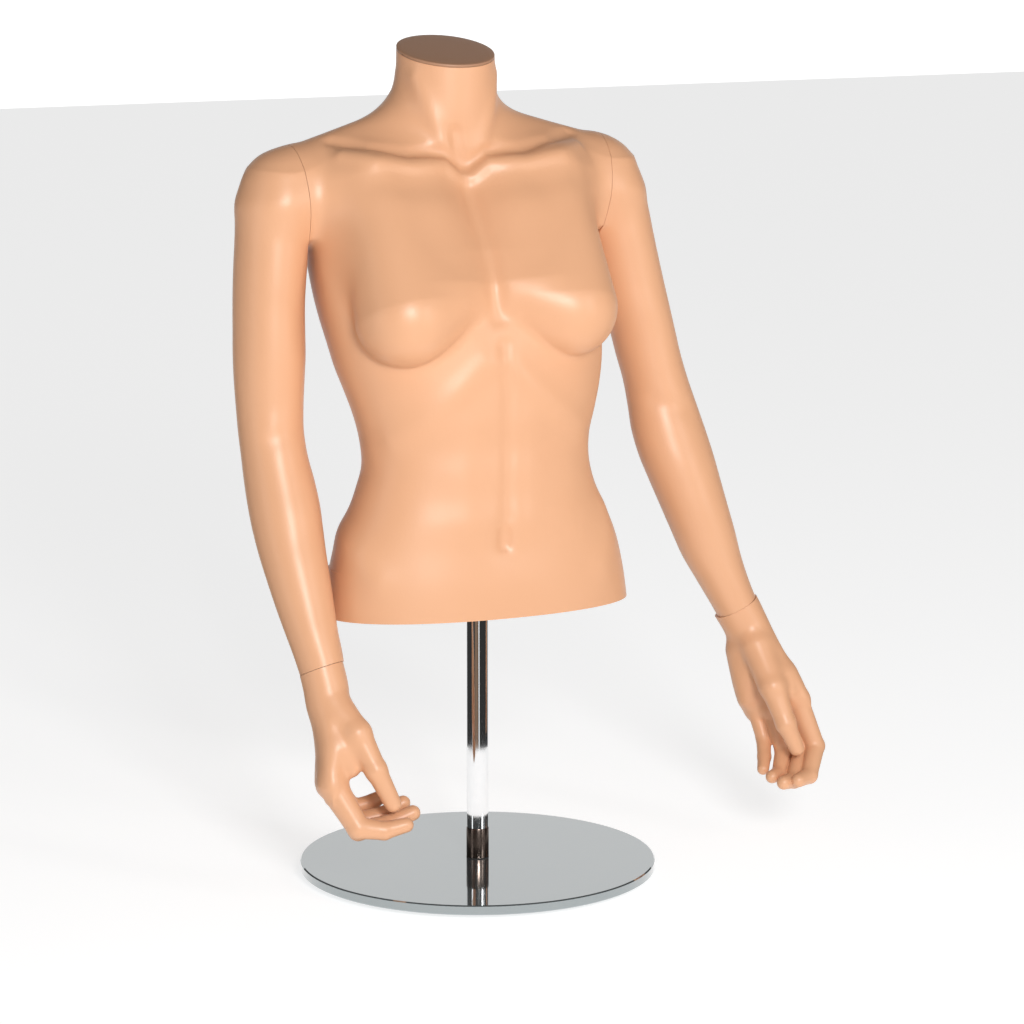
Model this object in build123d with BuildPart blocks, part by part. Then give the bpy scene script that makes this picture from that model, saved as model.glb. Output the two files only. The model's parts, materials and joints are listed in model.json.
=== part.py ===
from build123d import *
import os
from math import cos, radians, sin

os.makedirs("parts", exist_ok=True)

# Driving dimensions in millimetres. The floor is z = 0, the pole's axis is Z, the figure faces -Y
# and its right side is -X.

# Base
GLASS_RADIUS = 180.0
GLASS_THICKNESS = 10.0
GLASS_HOLE_RADIUS = 7.0
GLASS_CHAMFER = 1.0
FOOT_HEIGHT = 5.0
FOOT_RADIUS = 9.0
FOOT_CIRCLE_RADIUS = 140.0
FOOT_COUNT = 4
FOOT_CHAMFER = 0.6
BOLT_RADIUS = 5.0
BOLT_HEAD_RADIUS = 17.0
BOLT_HEAD_THICKNESS = 2.8
BOLT_LENGTH = 48.0
BOLT_BELOW_FERRULE = 6.0
HEX_RADIUS = 3.0
HEX_DEPTH = 1.6
END_CHAMFER = 0.8
LOWER_GASKET_THICKNESS = 0.8
UPPER_GASKET_THICKNESS = 0.6
PAD_RADIUS = 23.0
PAD_FLOOR = 1.2
PAD_CLEARANCE = 0.5
FERRULE_RADIUS = 11.4
FERRULE_HEIGHT = 31.0
FERRULE_CHAMFER = 0.4
SPIGOT_LENGTH = 44.0

# Pole
POLE_RADIUS = 11.0
POLE_WALL = 1.5
POLE_TOP = 420.0
PLUG_HEAD = 3.0
PLUG_STEP = 0.4
PLUG_DEPTH = 18.0
SLIP = 0.05

# Torso: height, half width, centre's x, front's y and back's y for each level of the trunk
TRUNK = [
    (258.0, 160.5, 1.0, -83.0, 90.0),
    (300.0, 157.0, 0.5, -82.0, 92.0),
    (342.0, 149.0, -0.5, -79.0, 84.0),
    (390.0, 128.0, -2.0, -74.0, 74.0),
    (432.0, 117.0, -1.0, -72.0, 73.0),
    (485.0, 128.0, 0.0, -75.0, 88.0),
    (545.0, 143.0, -2.5, -78.0, 117.0),
    (605.0, 152.0, -5.0, -60.0, 138.0),
    (655.0, 150.0, -7.0, -24.0, 142.0),
    (700.0, 140.0, -8.0, 2.0, 134.0),
    (733.0, 116.0, -8.0, 12.0, 117.0),
    (754.0, 82.0, -9.0, 10.0, 109.0),
    (776.0, 57.0, -9.0, 9.0, 106.0),
    (802.0, 50.0, -9.0, 8.0, 105.0),
    (850.0, 49.0, -9.0, 7.0, 103.0),
]
WALL = 4.0
HIP_CUT_HEIGHT = 277.0
HIP_CUT_TILT = 1.0
NECK_CUT_HEIGHT = 829.0
NECK_CUT_TILT = 14.0
NECK_CENTRE_Y = 55.0
CAP_THICKNESS = 3.0
CAP_CHAMFER = 0.3
BREAST_RADIUS = 55.0
BREAST_CENTRE_X = -6.0
BREAST_HALF_SPAN = 88.0
BREAST_Y = -44.0
BREAST_Z = 578.0

# Hip board and socket
BOARD_BOTTOM = 312.0
BOARD_THICKNESS = 9.0
SOCKET_WALL = 2.4
SOCKET_BOTTOM = 290.0
FLANGE_RADIUS = 36.0
FLANGE_THICKNESS = 3.0
FLANGE_SCREW_CIRCLE = 28.0
SCREW_RADIUS = 2.0
SCREW_HEAD_RADIUS = 3.8
SCREW_HEAD_THICKNESS = 1.6
SCREW_LENGTH = 11.0
CLAMP_HEIGHT = 299.0
CLAMP_RADIUS = 4.0
NUT_WIDTH = 13.0
NUT_THICKNESS = 6.5
NUT_OVERLAP = 1.5
CLAMP_TIP_GAP = 0.15
CLAMP_HOLE_REACH = 5.0
CLAMP_NECK = 2.0
KNOB_THICKNESS = 9.0
KNOB_RADIUS = 8.5
KNOB_GRIP_CIRCLE = 8.9
KNOB_GRIP_RADIUS = 0.9
KNOB_GRIP_COUNT = 18

# Shoulder seams
SEAM_CENTRE_X = -8.0
SEAM_HALF_SPAN = 163.0
SEAM_Y = 58.0
SEAM_Z = 694.0
SEAM_LEAN = 5.0
SEAM_HALF_DEPTH = 43.0
SEAM_HALF_HEIGHT = 47.0
SEAM_GAP = 0.4
SEAM_CUT_RADIUS = 80.0
SEAM_CUT_REACH = 40.0
SEAM_BOARD = 8.0
SEAM_BOARD_RADIUS = 50.0
SEAM_PLATE_RADIUS = 27.0
SEAM_PLATE = 2.5
SEAM_SCREW_CIRCLE = 21.0
SEAM_SCREW_LENGTH = 10.0
STUD_RADIUS = 6.0
STUD_HEAD_RADIUS = 9.0
STUD_HEAD = 4.0
STUD_CLEARANCE = 2.0
STUD_GAP = 0.5
# Bridge from the chest to the seam: distance out from the seam, added half depth, added half height
BRIDGE = [(-85.0, 20.0, 12.0), (-35.0, 7.0, 3.0), (12.0, -1.0, -1.0)]
DELTOID_RADIUS = 44.0
DELTOID_OUT = 14.0

# Arms: each level is centre x, y, z and radius, from the shoulder down; x is for the right side
RIGHT_ARM = [
    (-189.0, 58.0, 690.0, 39.0),
    (-196.0, 57.0, 635.0, 36.0),
    (-200.0, 54.0, 560.0, 35.5),
    (-202.0, 46.0, 463.0, 32.5),
    (-198.0, 32.0, 405.0, 34.5),
    (-195.0, -1.0, 320.0, 31.0),
    (-188.8, -29.5, 257.0, 24.5),
    (-184.2, -38.0, 235.5, 22.5),
]
LEFT_ARM = [
    (172.0, 58.0, 690.0, 39.0),
    (186.0, 57.0, 622.0, 36.0),
    (207.0, 51.0, 541.0, 33.0),
    (228.0, 42.0, 457.0, 34.5),
    (238.5, 32.0, 408.0, 37.0),
    (262.0, 17.0, 330.0, 32.0),
    (284.5, 7.5, 270.0, 26.0),
    (295.0, 4.0, 249.0, 23.5),
]
ARM_WALL = 3.0
WRIST_GAP = 0.4
WRIST_BOARD = 7.0
WRIST_PIN_RADIUS = 4.0
WRIST_PIN_LENGTH = 22.0
WRIST_SLEEVE_WALL = 2.0
WRIST_SLEEVE_LENGTH = 26.0
HAND_PLATE_RADIUS = 10.0
HAND_PLATE = 2.0

# Hands: every point is its distance along the hand, towards the thumb and towards the palm
RIGHT_FINGERS = [
    [(114.0, 22.0, -2.0), (157.0, 26.0, 17.0), (163.0, 25.0, 42.0), (160.0, 24.0, 65.0)],
    [(116.0, 6.0, -5.0), (161.0, 8.0, 18.0), (158.0, 8.0, 48.0), (150.0, 8.0, 74.0)],
    [(112.0, -10.0, -5.0), (153.0, -9.0, 20.0), (149.0, -8.0, 48.0), (140.0, -8.0, 66.0)],
    [(105.0, -25.0, -3.0), (140.0, -25.0, 18.0), (136.0, -24.0, 38.0), (129.0, -22.0, 54.0)],
]
LEFT_FINGERS = [
    [(118.0, 25.0, -4.0), (168.0, 24.0, -5.0), (188.0, 22.0, 26.0), (186.0, 20.0, 46.0)],
    [(118.0, 8.0, -5.0), (170.0, 8.0, 0.0), (186.0, 7.0, 34.0), (182.0, 6.0, 52.0)],
    [(113.0, -9.0, -4.0), (160.0, -9.0, 4.0), (176.0, -9.0, 28.0), (174.0, -8.0, 46.0)],
    [(104.0, -25.0, -3.0), (142.0, -25.0, 6.0), (158.0, -24.0, 20.0), (166.0, -22.0, 34.0)],
]
FINGER_RADII = [9.4, 9.4, 9.0, 8.0]
FINGER_TAPER = [1.0, 1.0, 0.92, 0.8]
PALM = [(30.0, 0.0, 25.0, 18.5), (68.0, 1.0, 35.0, 17.0), (112.0, 0.0, 36.0, 11.0)]
RIGHT_THUMB = [(38.0, 14.0, 10.0), (66.0, 26.0, 26.0), (103.0, 30.0, 41.0), (138.0, 24.0, 54.0)]
LEFT_THUMB = [(48.0, 12.0, 10.0), (88.0, 20.0, 28.0), (130.0, 22.0, 33.0), (158.0, 20.0, 26.0)]
THUMB_RADII = [14.0, 13.0, 10.5, 8.6]


def save(builder, name):
    """Label one finished piece and write its STEP file."""
    builder.part.label = name
    export_step(builder.part, f"parts/{name}.step")


def lofted_stack(levels, inset):
    """Solid through elliptical levels, each drawn smaller by the inset."""
    with BuildPart() as stack:
        for height, half_width, centre_x, front_y, back_y in levels:
            with BuildSketch(Plane((centre_x, (front_y + back_y) / 2, height))):
                Ellipse(half_width - inset, (back_y - front_y) / 2 - inset)
        loft()
    return stack.part


def seam_plane(side):
    """Shoulder seam on one side: side is -1 for the right, 1 for the left; Z points out of the torso."""
    lean = radians(SEAM_LEAN)
    out = (side * cos(lean), 0, -sin(lean))
    return Plane((SEAM_CENTRE_X + side * SEAM_HALF_SPAN, SEAM_Y, SEAM_Z), x_dir=(0, 1, 0), z_dir=out)


def arm_planes(levels):
    """Planes square to the arm's line at each of its levels, Z pointing to the hand."""
    planes = []
    for index, level in enumerate(levels):
        before = Vector(*levels[max(index - 1, 0)][:3])
        after = Vector(*levels[min(index + 1, len(levels) - 1)][:3])
        planes.append(Plane(Vector(*level[:3]), x_dir=(1, 0, 0), z_dir=(after - before).normalized()))
    return planes


# Base

glass_bottom = FOOT_HEIGHT
glass_top = glass_bottom + GLASS_THICKNESS

with BuildPart() as glass_disc:
    with BuildSketch(Plane.XY.offset(glass_bottom)):
        Circle(GLASS_RADIUS)
        Circle(GLASS_HOLE_RADIUS, mode=Mode.SUBTRACT)
    extrude(amount=GLASS_THICKNESS)
    chamfer(glass_disc.edges().filter_by(GeomType.CIRCLE).group_by(SortBy.RADIUS)[-1], GLASS_CHAMFER)
save(glass_disc, "glass_disc")

with BuildPart() as rubber_feet:
    with BuildSketch():
        with PolarLocations(FOOT_CIRCLE_RADIUS, FOOT_COUNT, start_angle=45):
            Circle(FOOT_RADIUS)
    extrude(amount=FOOT_HEIGHT)
    chamfer(rubber_feet.faces().group_by(Axis.Z)[0].edges(), FOOT_CHAMFER)
save(rubber_feet, "rubber_feet")

head_top = glass_bottom - LOWER_GASKET_THICKNESS
head_bottom = head_top - BOLT_HEAD_THICKNESS

with BuildPart() as centre_pad:
    with BuildSketch():
        Circle(PAD_RADIUS)
    extrude(amount=FOOT_HEIGHT)
    with BuildSketch(Plane.XY.offset(PAD_FLOOR)):
        Circle(BOLT_HEAD_RADIUS + PAD_CLEARANCE)
    extrude(amount=FOOT_HEIGHT, mode=Mode.SUBTRACT)
    chamfer(centre_pad.faces().sort_by(Axis.Z)[0].edges(), FOOT_CHAMFER)
save(centre_pad, "centre_pad")

with BuildPart() as base_bolt:
    with BuildSketch(Plane.XY.offset(head_bottom)):
        Circle(BOLT_HEAD_RADIUS)
    extrude(amount=BOLT_HEAD_THICKNESS)
    with BuildSketch(Plane.XY.offset(head_bottom)):
        RegularPolygon(HEX_RADIUS, 6)
    extrude(amount=HEX_DEPTH, mode=Mode.SUBTRACT)
    with BuildSketch(Plane.XY.offset(head_top)):
        Circle(BOLT_RADIUS)
    extrude(amount=BOLT_LENGTH)
    chamfer(base_bolt.faces().sort_by(Axis.Z)[-1].edges(), END_CHAMFER)
save(base_bolt, "base_bolt")

with BuildPart() as lower_gasket:
    with BuildSketch(Plane.XY.offset(head_top)):
        Circle(BOLT_HEAD_RADIUS)
        Circle(BOLT_RADIUS, mode=Mode.SUBTRACT)
    extrude(amount=LOWER_GASKET_THICKNESS)
save(lower_gasket, "lower_gasket")

with BuildPart() as upper_gasket:
    with BuildSketch(Plane.XY.offset(glass_top)):
        Circle(FERRULE_RADIUS)
        Circle(BOLT_RADIUS, mode=Mode.SUBTRACT)
    extrude(amount=UPPER_GASKET_THICKNESS)
save(upper_gasket, "upper_gasket")

ferrule_bottom = glass_top + UPPER_GASKET_THICKNESS
ferrule_top = ferrule_bottom + FERRULE_HEIGHT
pole_bore_radius = POLE_RADIUS - POLE_WALL

with BuildPart() as base_ferrule:
    with BuildSketch(Plane.XY.offset(ferrule_bottom)):
        Circle(FERRULE_RADIUS)
    extrude(amount=FERRULE_HEIGHT)
    chamfer(base_ferrule.edges().group_by(Axis.Z)[-1], FERRULE_CHAMFER)
    with BuildSketch(Plane.XY.offset(ferrule_top)):
        Circle(pole_bore_radius)
    extrude(amount=SPIGOT_LENGTH)
    with BuildSketch(Plane.XY.offset(ferrule_bottom)):
        Circle(BOLT_RADIUS)
    extrude(amount=BOLT_LENGTH - BOLT_BELOW_FERRULE, mode=Mode.SUBTRACT)
save(base_ferrule, "base_ferrule")

with BuildPart() as pole_tube:
    with BuildSketch(Plane.XY.offset(ferrule_top)):
        Circle(POLE_RADIUS)
        Circle(pole_bore_radius, mode=Mode.SUBTRACT)
    extrude(amount=POLE_TOP - ferrule_top)
save(pole_tube, "pole_tube")

with BuildPart() as pole_plug:
    with BuildSketch(Plane.XY.offset(POLE_TOP - PLUG_DEPTH)):
        Circle(pole_bore_radius)
    extrude(amount=PLUG_DEPTH)
    with BuildSketch(Plane.XY.offset(POLE_TOP)):
        Circle(POLE_RADIUS - PLUG_STEP)
    extrude(amount=PLUG_HEAD)
    chamfer(pole_plug.faces().sort_by(Axis.Z)[-1].edges(), END_CHAMFER)
save(pole_plug, "pole_plug")

# Torso

hip_plane = Plane((0, 0, HIP_CUT_HEIGHT), z_dir=(0, sin(radians(HIP_CUT_TILT)), cos(radians(HIP_CUT_TILT))))
neck_dir = (0, -sin(radians(NECK_CUT_TILT)), cos(radians(NECK_CUT_TILT)))
neck_plane = Plane((0, NECK_CENTRE_Y, NECK_CUT_HEIGHT), z_dir=neck_dir)
cap_seat = neck_plane.offset(-CAP_THICKNESS)


def shoulder_bridge(side, inset):
    """Rounded bridge from the chest out past the seam on one side."""
    seam = seam_plane(side)
    with BuildPart() as bridge:
        for distance, deeper, taller in BRIDGE:
            with BuildSketch(seam.offset(distance)):
                Ellipse(SEAM_HALF_DEPTH + deeper - inset, SEAM_HALF_HEIGHT + taller - inset)
        loft()
    return bridge.part


def trunk(inset):
    """Whole trunk solid, drawn smaller by the inset, before the flat cuts."""
    column = lofted_stack(TRUNK, inset)
    bridges = [shoulder_bridge(side, inset) for side in (-1, 1)]
    with BuildPart() as body:
        add(column)
        add(bridges)
        for side in (-1, 1):
            with Locations((BREAST_CENTRE_X + side * BREAST_HALF_SPAN, BREAST_Y, BREAST_Z)):
                Sphere(BREAST_RADIUS - inset)
    return body.part


outer_trunk = trunk(0)
inner_trunk = trunk(WALL)

with BuildPart() as torso_shell:
    add(outer_trunk)
    add(inner_trunk, mode=Mode.SUBTRACT)
    split(bisect_by=hip_plane, keep=Keep.TOP)
    split(bisect_by=cap_seat, keep=Keep.BOTTOM)
    for side in (-1, 1):
        with BuildSketch(seam_plane(side)):
            Circle(SEAM_CUT_RADIUS)
        extrude(amount=SEAM_CUT_REACH, mode=Mode.SUBTRACT)
save(torso_shell, "torso_shell")

with BuildPart() as neck_cap:
    add(outer_trunk)
    split(bisect_by=cap_seat, keep=Keep.TOP)
    split(bisect_by=neck_plane, keep=Keep.BOTTOM)
    chamfer(neck_cap.faces().sort_by(Axis.Z)[-1].edges(), CAP_CHAMFER)
save(neck_cap, "neck_cap")

socket_radius = POLE_RADIUS + SLIP
socket_outer = socket_radius + SOCKET_WALL
socket_top = POLE_TOP + PLUG_HEAD
clamp_plane = Plane((0, 0, CLAMP_HEIGHT), x_dir=(1, 0, 0), z_dir=(0, 1, 0))

with BuildPart() as hip_board:
    add(inner_trunk)
    split(bisect_by=Plane.XY.offset(BOARD_BOTTOM), keep=Keep.TOP)
    split(bisect_by=Plane.XY.offset(BOARD_BOTTOM + BOARD_THICKNESS), keep=Keep.BOTTOM)
    with BuildSketch(Plane.XY.offset(BOARD_BOTTOM)):
        Circle(socket_outer)
    extrude(amount=BOARD_THICKNESS, mode=Mode.SUBTRACT)
    with BuildSketch(Plane.XY.offset(BOARD_BOTTOM)):
        with PolarLocations(FLANGE_SCREW_CIRCLE, 4, start_angle=45):
            Circle(SCREW_RADIUS)
    extrude(amount=BOARD_THICKNESS, mode=Mode.SUBTRACT)
save(hip_board, "hip_board")

with BuildPart() as pole_socket:
    with BuildSketch(Plane.XY.offset(SOCKET_BOTTOM)):
        Circle(socket_outer)
    extrude(amount=socket_top + SOCKET_WALL - SOCKET_BOTTOM)
    with BuildSketch(Plane.XY.offset(BOARD_BOTTOM - FLANGE_THICKNESS)):
        Circle(FLANGE_RADIUS)
        with PolarLocations(FLANGE_SCREW_CIRCLE, 4, start_angle=45):
            Circle(SCREW_RADIUS, mode=Mode.SUBTRACT)
    extrude(amount=FLANGE_THICKNESS)
    with BuildSketch(Plane.XY.offset(SOCKET_BOTTOM)):
        Circle(socket_radius)
    extrude(amount=socket_top - SOCKET_BOTTOM, mode=Mode.SUBTRACT)
    with BuildSketch(clamp_plane):
        Circle(CLAMP_RADIUS + SLIP)
    extrude(amount=socket_outer + CLAMP_HOLE_REACH, mode=Mode.SUBTRACT)
save(pole_socket, "pole_socket")

with BuildPart() as socket_screws:
    with BuildSketch(Plane.XY.offset(BOARD_BOTTOM - FLANGE_THICKNESS - SCREW_HEAD_THICKNESS)):
        with PolarLocations(FLANGE_SCREW_CIRCLE, 4, start_angle=45):
            Circle(SCREW_HEAD_RADIUS)
    extrude(amount=SCREW_HEAD_THICKNESS)
    with BuildSketch(Plane.XY.offset(BOARD_BOTTOM - FLANGE_THICKNESS)):
        with PolarLocations(FLANGE_SCREW_CIRCLE, 4, start_angle=45):
            Circle(SCREW_RADIUS)
    extrude(amount=SCREW_LENGTH)
save(socket_screws, "socket_screws")

with BuildPart() as clamp_nut:
    with BuildSketch(clamp_plane.offset(socket_outer - NUT_OVERLAP)):
        RegularPolygon(NUT_WIDTH / 2, 6, major_radius=False)
        Circle(CLAMP_RADIUS + SLIP, mode=Mode.SUBTRACT)
    extrude(amount=NUT_THICKNESS)
    with BuildSketch(Plane.XY.offset(CLAMP_HEIGHT - NUT_WIDTH)):
        Circle(socket_outer)
    extrude(amount=2 * NUT_WIDTH, mode=Mode.SUBTRACT)
save(clamp_nut, "clamp_nut")

knob_start = socket_outer + NUT_THICKNESS + CLAMP_NECK

with BuildPart() as clamp_screw:
    with BuildSketch(clamp_plane.offset(POLE_RADIUS + CLAMP_TIP_GAP)):
        Circle(CLAMP_RADIUS)
    extrude(amount=knob_start - POLE_RADIUS)
    with BuildSketch(clamp_plane.offset(knob_start)):
        Circle(KNOB_RADIUS)
        with PolarLocations(KNOB_GRIP_CIRCLE, KNOB_GRIP_COUNT):
            Circle(KNOB_GRIP_RADIUS, mode=Mode.SUBTRACT)
    extrude(amount=KNOB_THICKNESS)
save(clamp_screw, "clamp_screw")


def seam_disc(side, inner_solid, start, thickness):
    """Closing board: the slice of the hollow between two planes along the seam's axis."""
    with BuildPart() as board:
        add(inner_solid)
        with BuildSketch(seam_plane(side).offset(start)):
            Circle(SEAM_BOARD_RADIUS)
        extrude(amount=thickness, mode=Mode.INTERSECT)
    return board.part


def plate_screws(face, into):
    """Three screws with heads sunk in the plate at the face; the shanks run on along the face's axis."""
    with BuildPart() as screws:
        with BuildSketch(face):
            with PolarLocations(SEAM_SCREW_CIRCLE, 3, start_angle=90):
                Circle(SCREW_HEAD_RADIUS)
        extrude(amount=into * SCREW_HEAD_THICKNESS)
        with BuildSketch(face):
            with PolarLocations(SEAM_SCREW_CIRCLE, 3, start_angle=90):
                Circle(SCREW_RADIUS)
        extrude(amount=into * SEAM_SCREW_LENGTH)
    return screws


for side, word in ((-1, "right"), (1, "left")):
    seam = seam_plane(side)
    board_face = -SEAM_PLATE

    with BuildPart() as shoulder_board:
        add(seam_disc(side, inner_trunk, board_face - SEAM_BOARD, SEAM_BOARD))
        with BuildSketch(seam.offset(board_face)):
            Circle(STUD_HEAD_RADIUS + STUD_CLEARANCE)
            with PolarLocations(SEAM_SCREW_CIRCLE, 3, start_angle=90):
                Circle(SCREW_RADIUS)
        extrude(amount=-SEAM_BOARD, mode=Mode.SUBTRACT)
    save(shoulder_board, f"{word}_shoulder_board")

    with BuildPart() as shoulder_plate:
        with BuildSketch(seam):
            Circle(SEAM_PLATE_RADIUS)
            Circle(STUD_RADIUS + SLIP, mode=Mode.SUBTRACT)
            with PolarLocations(SEAM_SCREW_CIRCLE, 3, start_angle=90):
                Circle(SCREW_RADIUS, mode=Mode.SUBTRACT)
        extrude(amount=-SEAM_PLATE)
        with BuildSketch(seam):
            with PolarLocations(SEAM_SCREW_CIRCLE, 3, start_angle=90):
                Circle(SCREW_HEAD_RADIUS)
        extrude(amount=-SCREW_HEAD_THICKNESS, mode=Mode.SUBTRACT)
    save(shoulder_plate, f"{word}_shoulder_plate")

    save(plate_screws(seam, -1), f"{word}_shoulder_screws")

# Arms and hands


def limb(levels, inset):
    """Arm solid along its levels with a round deltoid, drawn smaller by the inset."""
    side = 1 if levels[0][0] > 0 else -1
    with BuildPart() as body:
        for plane, level in zip(arm_planes(levels), levels):
            with BuildSketch(plane):
                Circle(level[3] - inset)
        loft()
        with Locations((SEAM_CENTRE_X + side * (SEAM_HALF_SPAN + DELTOID_OUT), SEAM_Y, SEAM_Z)):
            Sphere(DELTOID_RADIUS - inset)
    return body.part


def tube(points, radii):
    """Finger solid: a chain of cones and balls through the points."""
    with BuildPart() as chain:
        for point, radius in zip(points, radii):
            with Locations(point):
                Sphere(radius)
        for start, end, radius_a, radius_b in zip(points, points[1:], radii, radii[1:]):
            direction = end - start
            with BuildPart(mode=Mode.PRIVATE) as bone:
                with BuildSketch(Plane(start, z_dir=direction)):
                    Circle(radius_a)
                with BuildSketch(Plane(end, z_dir=direction)):
                    Circle(radius_b)
                loft()
            add(bone.part)
    return chain.part


HANDS = {
    "right": (Vector(0.02, -0.22, -0.97), Vector(-0.30, -0.93, 0.2), RIGHT_FINGERS, RIGHT_THUMB),
    "left": (Vector(0.306, -0.224, -0.925), Vector(0.527, -0.782, 0.3), LEFT_FINGERS, LEFT_THUMB),
}

for side, word, levels in ((-1, "right", RIGHT_ARM), (1, "left", LEFT_ARM)):
    seam = seam_plane(side)
    outer_arm = limb(levels, 0)
    inner_arm = limb(levels, ARM_WALL)
    wrist_plane = arm_planes(levels)[-1]
    arm_start = seam.offset(SEAM_GAP)

    with BuildPart() as arm_shell:
        add(outer_arm)
        add(inner_arm, mode=Mode.SUBTRACT)
        split(bisect_by=arm_start, keep=Keep.TOP)
    save(arm_shell, f"{word}_arm_shell")

    with BuildPart() as arm_board:
        add(seam_disc(side, inner_arm, SEAM_GAP + SEAM_PLATE, SEAM_BOARD))
        with BuildSketch(seam.offset(SEAM_GAP + SEAM_PLATE)):
            Circle(STUD_RADIUS)
            with PolarLocations(SEAM_SCREW_CIRCLE, 3, start_angle=90):
                Circle(SCREW_RADIUS)
        extrude(amount=SEAM_BOARD, mode=Mode.SUBTRACT)
    save(arm_board, f"{word}_arm_board")

    with BuildPart() as arm_plate:
        with BuildSketch(arm_start):
            Circle(SEAM_PLATE_RADIUS)
            Circle(STUD_RADIUS, mode=Mode.SUBTRACT)
            with PolarLocations(SEAM_SCREW_CIRCLE, 3, start_angle=90):
                Circle(SCREW_RADIUS, mode=Mode.SUBTRACT)
        extrude(amount=SEAM_PLATE)
        with BuildSketch(arm_start):
            with PolarLocations(SEAM_SCREW_CIRCLE, 3, start_angle=90):
                Circle(SCREW_HEAD_RADIUS)
        extrude(amount=SCREW_HEAD_THICKNESS, mode=Mode.SUBTRACT)
    save(arm_plate, f"{word}_arm_plate")

    save(plate_screws(arm_start, 1), f"{word}_arm_plate_screws")

    stud_outer = SEAM_GAP + SEAM_PLATE + SEAM_BOARD
    stud_inner = -SEAM_PLATE - STUD_GAP
    with BuildPart() as arm_stud:
        with BuildSketch(seam.offset(stud_inner)):
            Circle(STUD_RADIUS)
        extrude(amount=stud_outer - stud_inner)
        with BuildSketch(seam.offset(stud_inner)):
            Circle(STUD_HEAD_RADIUS)
        extrude(amount=-STUD_HEAD)
    save(arm_stud, f"{word}_arm_stud")

    sleeve_outer = WRIST_PIN_RADIUS + SLIP + WRIST_SLEEVE_WALL
    with BuildPart() as wrist_board:
        add(inner_arm)
        split(bisect_by=wrist_plane.offset(-WRIST_BOARD), keep=Keep.TOP)
        with BuildSketch(wrist_plane):
            Circle(sleeve_outer)
        extrude(amount=-WRIST_BOARD, mode=Mode.SUBTRACT)
    save(wrist_board, f"{word}_wrist_board")

    with BuildPart() as wrist_sleeve:
        with BuildSketch(wrist_plane):
            Circle(sleeve_outer)
            Circle(WRIST_PIN_RADIUS + SLIP, mode=Mode.SUBTRACT)
        extrude(amount=-WRIST_SLEEVE_LENGTH)
    save(wrist_sleeve, f"{word}_wrist_sleeve")

    along_dir, thumb_dir, finger_lines, thumb_line = HANDS[word]
    along_dir = along_dir.normalized()
    palm_dir = along_dir.cross(thumb_dir).normalized() * side
    thumb_dir = palm_dir.cross(along_dir).normalized() * side
    hand_start = wrist_plane.offset(WRIST_GAP)

    def hand_point(along, thumbward, palmward):
        """Point in the row's frame from distances along the hand, to its thumb and to its palm."""
        return hand_start.origin + along_dir * along + thumb_dir * thumbward + palm_dir * palmward

    fingers = []
    for radius, line in zip(FINGER_RADII, finger_lines):
        fingers.append(tube([hand_point(*point) for point in line], [radius * taper for taper in FINGER_TAPER]))
    fingers.append(tube([hand_point(*point) for point in thumb_line], THUMB_RADII))

    with BuildPart() as hand:
        with BuildSketch(hand_start):
            Circle(levels[-1][3])
        for along, thumbward, half_width, half_thick in PALM:
            with BuildSketch(Plane(hand_point(along, thumbward, 0), x_dir=thumb_dir, z_dir=along_dir)):
                Ellipse(half_width, half_thick)
        loft()
        add(fingers)
        with BuildSketch(hand_start):
            Circle(HAND_PLATE_RADIUS)
        extrude(amount=HAND_PLATE, mode=Mode.SUBTRACT)
        with BuildSketch(hand_start):
            Circle(WRIST_PIN_RADIUS)
        extrude(amount=WRIST_PIN_LENGTH, mode=Mode.SUBTRACT)
    save(hand, f"{word}_hand")

    with BuildPart() as hand_plate:
        with BuildSketch(hand_start):
            Circle(HAND_PLATE_RADIUS)
            Circle(WRIST_PIN_RADIUS, mode=Mode.SUBTRACT)
        extrude(amount=HAND_PLATE)
    save(hand_plate, f"{word}_hand_plate")

    with BuildPart() as wrist_pin:
        with BuildSketch(hand_start):
            Circle(WRIST_PIN_RADIUS)
        extrude(amount=WRIST_PIN_LENGTH)
        with BuildSketch(hand_start):
            Circle(WRIST_PIN_RADIUS)
        extrude(amount=-WRIST_PIN_LENGTH)
    save(wrist_pin, f"{word}_wrist_pin")
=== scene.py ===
"""Headless display mannequin on a glass base: the visible surfaces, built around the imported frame."""
import json
import math

import bmesh
import bpy
import numpy as np
from mathutils import Matrix, Vector


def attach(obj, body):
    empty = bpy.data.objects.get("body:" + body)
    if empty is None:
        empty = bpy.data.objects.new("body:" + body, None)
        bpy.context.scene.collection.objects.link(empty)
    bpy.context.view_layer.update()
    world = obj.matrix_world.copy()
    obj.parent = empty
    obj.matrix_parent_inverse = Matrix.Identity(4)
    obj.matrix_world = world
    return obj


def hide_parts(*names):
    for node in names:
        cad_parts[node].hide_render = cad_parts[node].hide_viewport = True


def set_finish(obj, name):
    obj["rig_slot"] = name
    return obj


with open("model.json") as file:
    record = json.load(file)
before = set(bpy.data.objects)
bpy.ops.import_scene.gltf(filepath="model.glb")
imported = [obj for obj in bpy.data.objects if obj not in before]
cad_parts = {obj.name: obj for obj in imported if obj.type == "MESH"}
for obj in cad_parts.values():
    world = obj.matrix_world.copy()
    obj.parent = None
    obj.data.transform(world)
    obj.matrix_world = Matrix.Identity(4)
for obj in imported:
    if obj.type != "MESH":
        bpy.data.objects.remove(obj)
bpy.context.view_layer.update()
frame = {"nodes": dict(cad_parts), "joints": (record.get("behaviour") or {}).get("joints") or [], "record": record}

MM = 0.001
joints = {joint["name"]: joint for joint in frame["joints"]}

# ---------------------------------------------------------------- body forms
# The moulded forms are worked out in millimetres. Each level is a height, the section's centre x and y,
# its half width, its half depth to the front and to the back, and how square its outline is.

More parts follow.
